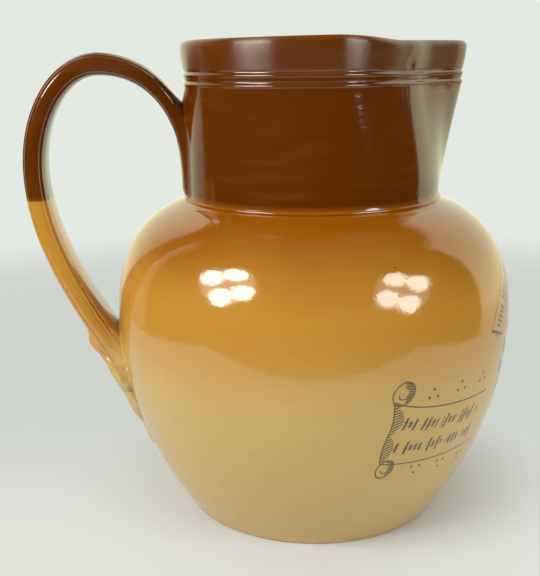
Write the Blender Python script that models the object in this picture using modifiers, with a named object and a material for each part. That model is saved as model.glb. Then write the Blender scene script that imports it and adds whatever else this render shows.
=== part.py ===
"""Stoneware jug: thrown belly, dipped neck with a pulled spout, strap handle and a moulded leaf on its foot.

Metres, +Z up. The origin is the centre of the underside, the spout points to +X and the handle to -X.
"""

from math import atan2, cos, hypot, pi, radians, sin

import bmesh
import bpy
from mathutils import Vector

# Turned body
FOOT_RADIUS = 0.0571
FOOT_ROUND = 0.0012
FOOT_LEAN = radians(27.2)  # of the wall from upright, where it leaves the foot
FOOT_PULL = 0.0098
BELLY_RADIUS = 0.0850
BELLY_HEIGHT = 0.0869
BELLY_PULL_DOWN = 0.0494
BELLY_PULL_UP = 0.0407
JOINT_HEIGHT = 0.1351  # where the shoulder meets the neck
SHOULDER_PULL = 0.0056
SHOULDER_SLOPE = radians(36.4)
BEAD_RADIUS = 0.0007  # the fine roll of clay at the joint

# Neck
NECK_RADIUS = 0.05365
NECK_TOP_RADIUS = 0.05395  # where the band begins to flare
RIM_RADIUS = 0.0549
RIM_HEIGHT = 0.2000
RIM_RISE = 0.0008  # the rim stands this much higher towards the spout
BAND_DEPTH = 0.0142  # from the rim to the upper ring
BAND_SWELL = 0.00025
RING_SPACING = 0.0038
RING_RADIUS = 0.0007

# Walls
BODY_WALL = 0.0060
NECK_WALL = 0.0050
FLOOR_THICKNESS = 0.0080
FLOOR_ROUND = 0.0100

# Pulled spout
SPOUT_REACH = 0.0094  # of the lip beyond the round of the rim
SPOUT_TOP_DEPTH = 0.0190  # below the rim, where the keel starts to run back to the joint
SPOUT_FLARE = 0.15  # how much of the keel's slope goes on above that
NOSE_ANGLE = radians(16.2)
NOSE_BULGE = 2.87  # 2 is a pointed nose, more is a fuller one
NOSE_START = 0.55  # share of the keel's height
NOSE_SPAN = 0.60
KEEL_ANGLE = radians(14.0)
PINCH = 0.0060
PINCH_INNER_ANGLE = radians(23.0)
PINCH_INNER_SOFTNESS = radians(26.3)
PINCH_OUTER_ANGLE = radians(68.8)
PINCH_OUTER_SOFTNESS = radians(41.0)
PINCH_START = 0.15  # share of the keel's height
PINCH_SPAN = 1.04
LIP_DROP = 0.0024

# Strap handle, on its centre line, which lies in the plane y = 0
STRAP_WIDTH = 0.0240
STRAP_THICKNESS = 0.0094
STRAP_SQUARENESS = 3.0  # 2 is an ellipse
ROOT_ABOVE_JOINT = 0.0029  # lower end of the tail smeared down the neck
ROOT_DEPTH = 0.0025  # of the centre line there, inside the neck
ROOT_PULL = 0.0400
ROOT_SWELL = 0.72
CREST_REACH = 0.0345  # beyond the neck
CREST_BELOW_RIM = 0.0096  # of the centre line
CREST_PULL_IN = 0.0170
CREST_PULL_OUT = 0.0160
BEND_REACH = 0.0310  # beyond the belly
BEND_HEIGHT = 0.1480
BEND_PULL_UP = 0.0220
BEND_PULL_DOWN = 0.0330
HANDLE_FOOT_HEIGHT = 0.0600
HANDLE_FOOT_LEAN = radians(59.0)  # above the level, of the strap as it comes in
HANDLE_FOOT_PULL = 0.0300
HANDLE_FOOT_SWELL = 1.15

# Moulded leaf
LEAF_TOP = 0.0850
LEAF_TIP = 0.0175
LEAF_WIDTH = 0.0320
LEAF_WIDEST = 0.42  # share of its length from the top
LEAF_TOP_SHARE = 0.55  # of the width, at the top
LEAF_TAPER = 0.8  # 1 is a straight taper, less is a fuller one
LEAF_RELIEF = 0.0034
LEAF_CROWN = 0.55  # share of the relief that is lost at the edges
LEAF_FADE = 0.45  # share of the relief that is lost at the tip
LEAF_LOBES = 4
LOBE_START = 0.04
LOBE_SLANT = 0.10
LOBE_DEPTH = 0.26  # of the half width
RIB_SHARE = 0.25  # of the half width
RIB_RELIEF = 0.0010
LEAF_BACKING = 0.0050  # how deep it is pressed in

# Smoothness
TURN_STEPS = 56
TURN_GATHER = 0.42  # how far the turning's steps are drawn together at the spout
CURVE_STEPS = 7
NECK_STEPS = 6
BEAD_STEPS = 2
RIM_STEPS = 3
STRAP_SIDES = 18
STRAP_STEPS = 11
LEAF_ROWS = 29
LEAF_COLUMNS = 11


def smooth_step(value):
    """0 up to 0, 1 from 1 on, and an even rise between."""
    t = min(max(value, 0.0), 1.0)
    return t * t * (3.0 - 2.0 * t)


def curve_points(p0, p1, p2, p3, steps):
    """The points of one cubic curve, both ends among them."""
    points = []
    for i in range(steps + 1):
        t = i / steps
        s = 1.0 - t
        points.append(
            tuple(
                s**3 * a + 3 * s * s * t * b + 3 * s * t * t * c + t**3 * d
                for a, b, c, d in zip(p0, p1, p2, p3)
            )
        )
    return points


def arc_points(centre, radius, start, end, steps):
    """The points of an arc in the profile plane, angles from the level."""
    return [
        (
            centre[0] + radius * cos(start + (end - start) * i / steps),
            centre[1] + radius * sin(start + (end - start) * i / steps),
        )
        for i in range(steps + 1)
    ]


def body_curve():
    """Outer side of the body from the foot up to the joint, as (radius, height) points."""
    foot = (FOOT_RADIUS, 0.0)
    belly = (BELLY_RADIUS, BELLY_HEIGHT)
    joint = (NECK_RADIUS, JOINT_HEIGHT)
    lower = curve_points(
        foot,
        (FOOT_RADIUS + FOOT_PULL * sin(FOOT_LEAN), FOOT_PULL * cos(FOOT_LEAN)),
        (BELLY_RADIUS, BELLY_HEIGHT - BELLY_PULL_DOWN),
        belly,
        CURVE_STEPS,
    )
    upper = curve_points(
        belly,
        (BELLY_RADIUS, BELLY_HEIGHT + BELLY_PULL_UP),
        (
            NECK_RADIUS + SHOULDER_PULL * cos(SHOULDER_SLOPE),
            JOINT_HEIGHT - SHOULDER_PULL * sin(SHOULDER_SLOPE),
        ),
        joint,
        CURVE_STEPS,
    )
    return lower + upper[1:]


def body_radius(height):
    """Outer radius of the body at a height below the joint."""
    points = body_curve()
    for (r0, z0), (r1, z1) in zip(points, points[1:]):
        if z0 <= height <= z1:
            return r0 + (r1 - r0) * (height - z0) / (z1 - z0)
    return points[0][0] if height < points[0][1] else points[-1][0]


def neck_radius(height):
    """Outer radius of the round neck at a height above the joint, flared in the band under the rim."""
    band = RIM_HEIGHT - BAND_DEPTH
    share = min((height - JOINT_HEIGHT) / (band - JOINT_HEIGHT), 1.0)
    flare = max(height - band, 0.0) / BAND_DEPTH
    radius = NECK_RADIUS + (NECK_TOP_RADIUS - NECK_RADIUS) * share
    return radius + (RIM_RADIUS - NECK_TOP_RADIUS) * flare


def ring(height):
    """A raised ring on the neck, as profile points from top to bottom."""
    centre = (neck_radius(height), height)
    return arc_points(centre, RING_RADIUS, pi / 2, -pi / 2, BEAD_STEPS)


def outer_profile():
    """Outline of the jug without its hollow, down the outer side from the middle of the rim."""
    rim_round = NECK_WALL / 2
    upper_ring = RIM_HEIGHT - BAND_DEPTH
    rim = arc_points((RIM_RADIUS - rim_round, RIM_HEIGHT - rim_round), rim_round, pi / 2, 0.0, RIM_STEPS)
    band_middle = RIM_HEIGHT - BAND_DEPTH / 2
    joint_bead = arc_points(
        (NECK_RADIUS + BEAD_RADIUS / 2, JOINT_HEIGHT), BEAD_RADIUS, pi / 2, -pi / 4, BEAD_STEPS
    )
    body = body_curve()[::-1]
    foot = [(FOOT_RADIUS - FOOT_ROUND / 2, FOOT_ROUND / 4), (FOOT_RADIUS - FOOT_ROUND, 0.0)]
    above_foot = [point for point in body[1:] if point[1] > FOOT_ROUND]
    profile = [(0.0, RIM_HEIGHT)] + rim
    profile += [(neck_radius(band_middle) + BAND_SWELL, band_middle)]
    profile += ring(upper_ring) + ring(upper_ring - RING_SPACING)
    profile += [(neck_radius(z), z) for z in middle_heights()]
    profile += joint_bead + above_foot
    profile += [(FOOT_RADIUS + FOOT_ROUND * sin(FOOT_LEAN), FOOT_ROUND)] + foot + [(0.0, 0.0)]
    return profile


def middle_heights():
    """Heights of the plain wall between the rings and the joint, from the top."""
    top = RIM_HEIGHT - BAND_DEPTH - RING_SPACING
    return [top + (JOINT_HEIGHT - top) * (i + 1) / (NECK_STEPS + 1) for i in range(NECK_STEPS)]


def hollow_profile():
    """Outline of the hollow, down from above the rim to the floor."""
    rim_round = NECK_WALL / 2
    centre = (RIM_RADIUS - rim_round, RIM_HEIGHT - rim_round)
    mouth = arc_points(centre, rim_round, pi / 2, pi, RIM_STEPS)
    above = [(0.0, RIM_HEIGHT + NECK_WALL), (centre[0], RIM_HEIGHT + NECK_WALL)]
    neck = [(neck_radius(z) - NECK_WALL, z) for z in [RIM_HEIGHT - BAND_DEPTH] + middle_heights()]
    outer = body_curve()
    inner = []
    for before, point, after in zip(outer, outer[1:], outer[2:]):
        along = Vector((after[0] - before[0], after[1] - before[1])).normalized()
        inner.append((point[0] - BODY_WALL * along.y, point[1] + BODY_WALL * along.x))
    lowest = FLOOR_THICKNESS + FLOOR_ROUND
    highest = JOINT_HEIGHT - BODY_WALL
    wall = [point for point in inner if lowest < point[1] < highest][::-1]
    corner = body_radius(lowest) - BODY_WALL
    floor = arc_points((corner - FLOOR_ROUND, lowest), FLOOR_ROUND, 0.0, -pi / 2, RIM_STEPS)
    return above + mouth + neck + wall + floor + [(0.0, FLOOR_THICKNESS)]


def spout_shift(angle, height):
    """Outward and upward shift of the neck's wall where the spout is pulled, from its azimuth and height."""
    side = abs(angle)
    rise = (height - JOINT_HEIGHT) / (RIM_HEIGHT - SPOUT_TOP_DEPTH - JOINT_HEIGHT)
    nose = smooth_step((rise - NOSE_START) / NOSE_SPAN)
    width = KEEL_ANGLE + (NOSE_ANGLE - KEEL_ANGLE) * nose
    keel = SPOUT_REACH * min(max(rise, 0.0), 1.0 + (rise - 1.0) * SPOUT_FLARE)
    lip = keel / (1.0 + (side / width) ** NOSE_BULGE) ** 2
    inner = smooth_step((side - PINCH_INNER_ANGLE) / PINCH_INNER_SOFTNESS + 0.5)
    outer = smooth_step((PINCH_OUTER_ANGLE - side) / PINCH_OUTER_SOFTNESS + 0.5)
    pressed = smooth_step((rise - PINCH_START) / PINCH_SPAN) * inner * outer
    near_rim = smooth_step((height - RIM_HEIGHT + SPOUT_TOP_DEPTH) / SPOUT_TOP_DEPTH)
    tilt = RIM_RISE * cos(angle) * near_rim
    return lip - PINCH * pressed, tilt - LIP_DROP * outer * near_rim


def turned(name, profile):
    """A profile turned into a closed mesh and pulled to the spout's shape."""
    mesh = bpy.data.meshes.new(name)
    edges = [(i, i + 1) for i in range(len(profile) - 1)]
    mesh.from_pydata([(r, 0.0, z) for r, z in profile], edges, [])
    blank = bpy.data.objects.new(name + "_turning", mesh)
    bpy.context.scene.collection.objects.link(blank)
    screw = blank.modifiers.new("turn", "SCREW")
    screw.steps = TURN_STEPS
    screw.render_steps = TURN_STEPS
    screw.use_merge_vertices = True
    screw.merge_threshold = 0.00001
    solid = mesh_of(blank, name)
    for vertex in solid.data.vertices:
        x, y, z = vertex.co
        radius = hypot(x, y)
        angle = atan2(y, x)
        angle -= TURN_GATHER * sin(angle)
        out, up = spout_shift(angle, z) if z > JOINT_HEIGHT else (0.0, 0.0)
        share = min(radius / (RIM_RADIUS - NECK_WALL), 1.0)
        reach = radius + out * share
        vertex.co = (reach * cos(angle), reach * sin(angle), z + up * share)
    return solid


def mesh_of(source, name):
    """The evaluated shape of an object as a new mesh object; the source is removed."""
    graph = bpy.context.evaluated_depsgraph_get()
    mesh = bpy.data.meshes.new_from_object(source.evaluated_get(graph))
    place = source.matrix_world.copy()
    bpy.data.objects.remove(source)
    welded = bmesh.new()
    welded.from_mesh(mesh)
    bmesh.ops.remove_doubles(welded, verts=welded.verts, dist=0.00001)
    bmesh.ops.recalc_face_normals(welded, faces=welded.faces)
    welded.to_mesh(mesh)
    welded.free()
    mesh.shade_smooth()
    solid = bpy.data.objects.new(name, mesh)
    solid.matrix_world = place
    bpy.context.scene.collection.objects.link(solid)
    return solid


def strap_section():
    """The strap's cross section, as a closed flat curve."""
    curve = bpy.data.curves.new("strap_section", "CURVE")
    spline = curve.splines.new("POLY")
    spline.points.add(STRAP_SIDES - 1)
    power = 2.0 / STRAP_SQUARENESS
    for i, point in enumerate(spline.points):
        angle = 2 * pi * i / STRAP_SIDES
        across = STRAP_WIDTH / 2 * abs(cos(angle)) ** power * (1 if cos(angle) > 0 else -1)
        through = STRAP_THICKNESS / 2 * abs(sin(angle)) ** power * (1 if sin(angle) > 0 else -1)
        point.co = (through, across, 0.0, 1.0)
    spline.use_cyclic_u = True
    section = bpy.data.objects.new("strap_section", curve)
    bpy.context.scene.collection.objects.link(section)
    return section


def strap_knots():
    """The knots of the handle's centre line: (place, pull before, pull after, swell)."""
    half = STRAP_THICKNESS / 2
    root = Vector((NECK_RADIUS - ROOT_DEPTH, 0.0, JOINT_HEIGHT + ROOT_ABOVE_JOINT))
    crest = Vector((NECK_RADIUS + CREST_REACH, 0.0, RIM_HEIGHT - CREST_BELOW_RIM))
    bend = Vector((BELLY_RADIUS + BEND_REACH, 0.0, BEND_HEIGHT))
    foot = Vector((body_radius(HANDLE_FOOT_HEIGHT) - half / 2, 0.0, HANDLE_FOOT_HEIGHT))
    inward = Vector((cos(HANDLE_FOOT_LEAN), 0.0, sin(HANDLE_FOOT_LEAN)))
    return [
        (root, root, root + Vector((0.0, 0.0, ROOT_PULL)), ROOT_SWELL),
        (crest, crest - Vector((CREST_PULL_IN, 0, 0)), crest + Vector((CREST_PULL_OUT, 0, 0)), 1.0),
        (bend, bend + Vector((0, 0, BEND_PULL_UP)), bend - Vector((0, 0, BEND_PULL_DOWN)), 1.0),
        (foot, foot + inward * HANDLE_FOOT_PULL, foot, HANDLE_FOOT_SWELL),
    ]


def strap_handle():
    """The strap handle as a closed mesh, its ends sunk in the neck and in the belly."""
    curve = bpy.data.curves.new("handle", "CURVE")
    curve.dimensions = "3D"
    curve.resolution_u = STRAP_STEPS
    curve.bevel_mode = "OBJECT"
    section = strap_section()
    curve.bevel_object = section
    curve.use_fill_caps = True
    spline = curve.splines.new("BEZIER")
    knots = strap_knots()
    spline.bezier_points.add(len(knots) - 1)
    for point, (place, before, after, swell) in zip(spline.bezier_points, knots):
        point.handle_left_type = "FREE"
        point.handle_right_type = "FREE"
        point.co = (-place.x, 0.0, place.z)
        point.handle_left = (-before.x, 0.0, before.z)
        point.handle_right = (-after.x, 0.0, after.z)
        point.radius = swell
    guide = bpy.data.objects.new("handle_line", curve)
    bpy.context.scene.collection.objects.link(guide)
    handle = mesh_of(guide, "handle")
    bpy.data.objects.remove(section)
    return handle


def strap_outer_face():
    """Points down the middle of the strap's outer face, from the bend to its foot."""
    knots = strap_knots()
    (bend, _, leaving, _), (foot, arriving, _, swell) = knots[2], knots[3]
    line = curve_points(bend, leaving, arriving, foot, 4 * STRAP_STEPS)
    half = STRAP_THICKNESS / 2 * swell
    face = []
    for before, point, after in zip(line, line[1:], line[2:]):
        along = Vector((after[0] - before[0], after[2] - before[2])).normalized()
        face.append((point[0] - half * along.y, point[2] + half * along.x))
    return face


def leaf_base(face, height, side):
    """Distance from the axis of what the leaf is pressed on, at a height and a sideways place."""
    on_body = body_radius(height)
    on_body -= side * side / (2 * on_body)
    end_reach, end_height = face[-1]
    if height < end_height:
        fade = smooth_step((end_height - height) / STRAP_WIDTH)
        return on_body + max(end_reach - body_radius(end_height), 0.0) * (1.0 - fade)
    for (high_reach, high), (low_reach, low) in zip(face, face[1:]):
        if low <= height <= high:
            on_strap = low_reach + (high_reach - low_reach) * (height - low) / (high - low)
            return max(on_body, on_strap)
    return on_body


def leaf_outline(along):
    """Half width of the leaf at a share of its length from the top."""
    spread = LEAF_TOP_SHARE + (1.0 - LEAF_TOP_SHARE) * smooth_step(along / LEAF_WIDEST)
    taper = min((1.0 - along) / (1.0 - LEAF_WIDEST), 1.0) ** LEAF_TAPER
    lobe = abs(sin(pi * LEAF_LOBES * (along + LOBE_START)))
    return LEAF_WIDTH / 2 * spread * taper * (1.0 - LOBE_DEPTH + LOBE_DEPTH * lobe)


def leaf_relief(along, across):
    """Height of the leaf's face above what it is pressed on; across runs from -1 to 1."""
    crown = 1.0 - LEAF_CROWN * abs(across) ** 3
    fading = 1.0 - LEAF_FADE * along
    rib = cos(pi * min(abs(across) / RIB_SHARE, 1.0)) * 0.5 + 0.5
    veins = sin(pi * LEAF_LOBES * (along + LOBE_START - LOBE_SLANT * abs(across))) ** 2
    return LEAF_RELIEF * crown * fading + RIB_RELIEF * (rib + veins * min(abs(across) * 2.0, 1.0) - 0.5)


def moulded_leaf():
    """The leaf as a closed mesh that sinks in the handle's foot and in the belly."""
    strap_face = strap_outer_face()
    shape = bmesh.new()
    bmesh.ops.create_grid(shape, x_segments=LEAF_ROWS - 1, y_segments=LEAF_COLUMNS - 1, size=1.0)
    for vertex in shape.verts:
        along = (vertex.co.x + 1.0) / 2.0
        across = vertex.co.y
        side = across * max(leaf_outline(along), LEAF_RELIEF / 4)
        height = LEAF_TOP + (LEAF_TIP - LEAF_TOP) * along
        reach = leaf_base(strap_face, height, side) + leaf_relief(along, across)
        vertex.co = (-reach, side, height)
    pressed = bmesh.ops.extrude_face_region(shape, geom=shape.faces[:])
    backs = [item for item in pressed["geom"] if isinstance(item, bmesh.types.BMVert)]
    bmesh.ops.translate(shape, verts=backs, vec=(LEAF_RELIEF + LEAF_BACKING, 0.0, 0.0))
    bmesh.ops.recalc_face_normals(shape, faces=shape.faces)
    mesh = bpy.data.meshes.new("leaf")
    shape.to_mesh(mesh)
    shape.free()
    mesh.shade_smooth()
    leaf = bpy.data.objects.new("leaf", mesh)
    bpy.context.scene.collection.objects.link(leaf)
    return leaf


def stoneware():
    """Material: salt-glazed stoneware, ochre over buff."""
    material = bpy.data.materials.new("salt_glazed_stoneware")
    material.use_nodes = True
    shader = material.node_tree.nodes["Principled BSDF"]
    shader.inputs["Base Color"].default_value = (0.50, 0.25, 0.06, 1.0)
    shader.inputs["Roughness"].default_value = 0.12
    shader.inputs["Metallic"].default_value = 0.0
    return material


def join_or_cut(target, tool, operation, cutters):
    """Adds an exact Boolean to the target; its tool becomes a hidden cutter."""
    step = target.modifiers.new(operation.lower() + "_" + tool.name, "BOOLEAN")
    step.operation = operation
    step.solver = "EXACT"
    step.object = tool
    bpy.context.scene.collection.objects.unlink(tool)
    cutters.objects.link(tool)
    tool.hide_render = True
    tool.display_type = "WIRE"


def build():
    """The whole jug as one object."""
    for leftover in list(bpy.data.objects):
        bpy.data.objects.remove(leftover)
    scene = bpy.context.scene
    parts = bpy.data.collections.new("stoneware_jug")
    cutters = bpy.data.collections.new("cutters")
    scene.collection.children.link(parts)
    scene.collection.children.link(cutters)
    jug = turned("jug", outer_profile())
    scene.collection.objects.unlink(jug)
    parts.objects.link(jug)
    join_or_cut(jug, strap_handle(), "UNION", cutters)
    join_or_cut(jug, moulded_leaf(), "UNION", cutters)
    join_or_cut(jug, turned("hollow", hollow_profile()), "DIFFERENCE", cutters)
    jug.data.shade_smooth()
    jug.data.set_sharp_from_angle(angle=radians(40.0))
    jug.data.materials.append(stoneware())
    cutters.hide_render = True


build()
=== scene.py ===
"""Salt-glazed stoneware jug with a brown dipped neck, a pulled spout, a strap handle and a moulded leaf.

The jug is thrown, pulled, luted and glazed here at a fine scale, and stands in a light tent on a pale floor.
Metres, +Z up, spout towards +X and handle towards -X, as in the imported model.
"""

import logging
from contextlib import contextmanager
from dataclasses import dataclass, field
from enum import Enum
from math import atan2, cos, hypot, pi, radians, sin
from typing import Iterator, Sequence

import bpy
from mathutils import Matrix, Vector
from mathutils.bvhtree import BVHTree


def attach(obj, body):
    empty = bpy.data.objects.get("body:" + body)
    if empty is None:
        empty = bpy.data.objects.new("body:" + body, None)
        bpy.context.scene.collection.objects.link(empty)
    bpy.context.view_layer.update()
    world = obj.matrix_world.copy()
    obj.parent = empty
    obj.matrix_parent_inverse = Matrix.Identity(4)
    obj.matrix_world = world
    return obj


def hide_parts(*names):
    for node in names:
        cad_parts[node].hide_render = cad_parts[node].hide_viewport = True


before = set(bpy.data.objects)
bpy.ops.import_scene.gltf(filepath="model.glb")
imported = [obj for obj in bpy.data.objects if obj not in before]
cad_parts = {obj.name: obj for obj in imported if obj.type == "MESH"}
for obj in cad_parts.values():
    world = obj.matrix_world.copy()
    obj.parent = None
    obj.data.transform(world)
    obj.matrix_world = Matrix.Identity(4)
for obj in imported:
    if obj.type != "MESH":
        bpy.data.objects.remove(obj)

LOG = logging.getLogger("stoneware_jug")
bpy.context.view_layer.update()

Point = tuple[float, float]
Triple = tuple[float, float, float]
Colour = Triple
Grain = Triple
Tree = bpy.types.NodeTree
Socket = bpy.types.NodeSocket
MILLIMETRE = 0.001
AXIS_REACH = 2e-5
WELD_REACH = 2e-6


class Finish(Enum):
    """The name of the record's finish slot for stoneware; nothing in this script reads it."""

    STONEWARE = "glazed_stoneware"


class Join(Enum):
    """How one body is worked into another."""

    ADD = "UNION"
    CUT = "DIFFERENCE"


def smooth_step(value: float) -> float:
    """Give 0 up to 0, 1 from 1 on, and an even rise between."""
    t = min(max(value, 0.0), 1.0)
    return t * t * (3.0 - 2.0 * t)


def bump(value: float) -> float:
    """Give a soft hill of height 1 at 0 that ends at -1 and 1."""
    return smooth_step(1.0 - abs(value))


def curve_points(p0: Point, p1: Point, p2: Point, p3: Point, steps: int) -> list[Point]:
    """Points along one cubic curve.

    Args:
        p0, p1, p2, p3: The curve's ends and its two pulls between them.
        steps: How many stretches the curve is cut into.

    Returns:
        The points, both ends among them.
    """
    points = []
    for i in range(steps + 1):
        t = i / steps
        s = 1.0 - t
        weights = (s**3, 3 * s * s * t, 3 * s * t * t, t**3)
        ends = (p0, p1, p2, p3)
        across = sum(w * p[0] for w, p in zip(weights, ends))
        height = sum(w * p[1] for w, p in zip(weights, ends))
        points.append((across, height))
    return points


def arc_points(centre: Point, radius: float, start: float, end: float, steps: int) -> list[Point]:
    """Points along an arc in the profile plane, angles measured from the level."""
    turn = (end - start) / steps
    angles = [start + turn * i for i in range(steps + 1)]
    return [(centre[0] + radius * cos(a), centre[1] + radius * sin(a)) for a in angles]


def deselect_all() -> None:
    """Leave nothing selected."""
    bpy.ops.object.select_all(action="DESELECT")


def make_active(piece: bpy.types.Object) -> None:
    """Select one object alone and make it the active one."""
    deselect_all()
    piece.select_set(True)
    bpy.context.view_layer.objects.active = piece


@contextmanager
def editing(piece: bpy.types.Object, action: str = "SELECT") -> Iterator[None]:
    """Edit one mesh for a while.

    Args:
        piece: The mesh object.
        action: What happens to the selection first, and nothing if it is empty.
    """
    make_active(piece)
    bpy.ops.object.mode_set(mode="EDIT")
    if action:
        bpy.ops.mesh.select_all(action=action)
    yield
    bpy.ops.object.mode_set(mode="OBJECT")


def weld_and_turn_out(piece: bpy.types.Object, distance: float = WELD_REACH) -> None:
    """Merge doubled points and point every face outwards."""
    with editing(piece):
        bpy.ops.mesh.remove_doubles(threshold=distance)
        bpy.ops.mesh.normals_make_consistent(inside=False)


def turned_solid(name: str, profile: Sequence[Point], steps: int) -> bpy.types.Object:
    """Turn a profile into a closed solid, as on a wheel.

    Args:
        name: Name of the new object.
        profile: Radius and height of each point, from the axis back to the axis.
        steps: Faces round the turn.

    Returns:
        The solid, its place in its mesh.
    """
    deselect_all()
    first = profile[0]
    seed = (first[0], 0.0, first[1])
    bpy.ops.mesh.primitive_plane_add(size=MILLIMETRE, location=seed)
    piece = bpy.context.object
    piece.name = name
    bpy.ops.object.transform_apply(location=True, rotation=True, scale=True)
    with editing(piece):
        bpy.ops.mesh.merge(type="CENTER")
        for before, after in zip(profile, profile[1:]):
            step = (after[0] - before[0], 0.0, after[1] - before[1])
            bpy.ops.mesh.extrude_region_move(TRANSFORM_OT_translate={"value": step})
        bpy.ops.mesh.select_all(action="SELECT")
        bpy.ops.mesh.spin(steps=steps, angle=2 * pi, center=(0.0, 0.0, 0.0), axis=(0.0, 0.0, 1.0))
    for vertex in piece.data.vertices:
        if hypot(vertex.co.x, vertex.co.y) < AXIS_REACH:
            vertex.co.x = 0.0
            vertex.co.y = 0.0
    weld_and_turn_out(piece)
    return piece


def tree_of(piece: bpy.types.Object) -> BVHTree:
    """A search tree over a mesh's faces."""
    places = [vertex.co.copy() for vertex in piece.data.vertices]
    faces = [tuple(polygon.vertices) for polygon in piece.data.polygons]
    return BVHTree.FromPolygons(places, faces)


def work_in(target: bpy.types.Object, tool: bpy.types.Object, how: Join) -> None:
    """Join a body to the target or cut it out of it, and throw the tool away."""
    step = target.modifiers.new(how.name.lower(), "BOOLEAN")
    step.operation = how.value
    step.solver = "EXACT"
    step.object = tool
    make_active(target)
    bpy.ops.object.modifier_apply(modifier=step.name)
    bpy.data.objects.remove(tool, do_unlink=True)


@dataclass
class PulledSpout:
    """The spout that a finger pulled out of the soft neck, with a pinch on either side."""

    reach: float = 0.0094
    top_depth: float = 0.0190
    flare: float = 0.15
    nose_angle: float = radians(16.2)
    nose_bulge: float = 2.87
    nose_start: float = 0.55
    nose_span: float = 0.60
    keel_angle: float = radians(14.0)
    pinch: float = 0.0060
    pinch_inner_angle: float = radians(23.0)
    pinch_inner_softness: float = radians(26.3)
    pinch_outer_angle: float = radians(68.8)
    pinch_outer_softness: float = radians(41.0)
    pinch_start: float = 0.15
    pinch_span: float = 1.04
    lip_drop: float = 0.0024
    rim_rise: float = 0.0008
    dent_angle: float = radians(46.0)
    dent_height: float = 0.1895
    dent_size: Point = (0.0030, 0.0042)
    dent_depth: float = 0.0006

    def shift(self, angle: float, height: float, joint: float, rim: float) -> Point:
        """Outward and upward shift of the neck's wall.

        Args:
            angle: Azimuth from the spout, in radians.
            height: Height of the point before the spout was pulled.
            joint: Height of the joint of shoulder and neck.
            rim: Height of the rim.

        Returns:
            The shift away from the axis and the shift upwards.
        """
        side = abs(angle)
        rise = (height - joint) / (rim - self.top_depth - joint)
        nose = smooth_step((rise - self.nose_start) / self.nose_span)
        width = self.keel_angle + (self.nose_angle - self.keel_angle) * nose
        keel = self.reach * min(max(rise, 0.0), 1.0 + (rise - 1.0) * self.flare)
        lip = keel / (1.0 + (side / width) ** self.nose_bulge) ** 2
        inner = smooth_step((side - self.pinch_inner_angle) / self.pinch_inner_softness + 0.5)
        outer = smooth_step((self.pinch_outer_angle - side) / self.pinch_outer_softness + 0.5)
        pressed = smooth_step((rise - self.pinch_start) / self.pinch_span) * inner * outer
        near_rim = smooth_step((height - rim + self.top_depth) / self.top_depth)
        upwards = self.rim_rise * cos(angle) * near_rim - self.lip_drop * outer * near_rim
        return lip - self.pinch * pressed, upwards

    def dent(self, angle: float, height: float, radius: float) -> float:
        """Depth of the fingertip dents at a place of the outer wall."""
        across = (abs(angle) - self.dent_angle) * radius / self.dent_size[0]
        along = (height - self.dent_height) / self.dent_size[1]
        return self.dent_depth * bump(min(hypot(across, along), 1.0))


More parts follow.
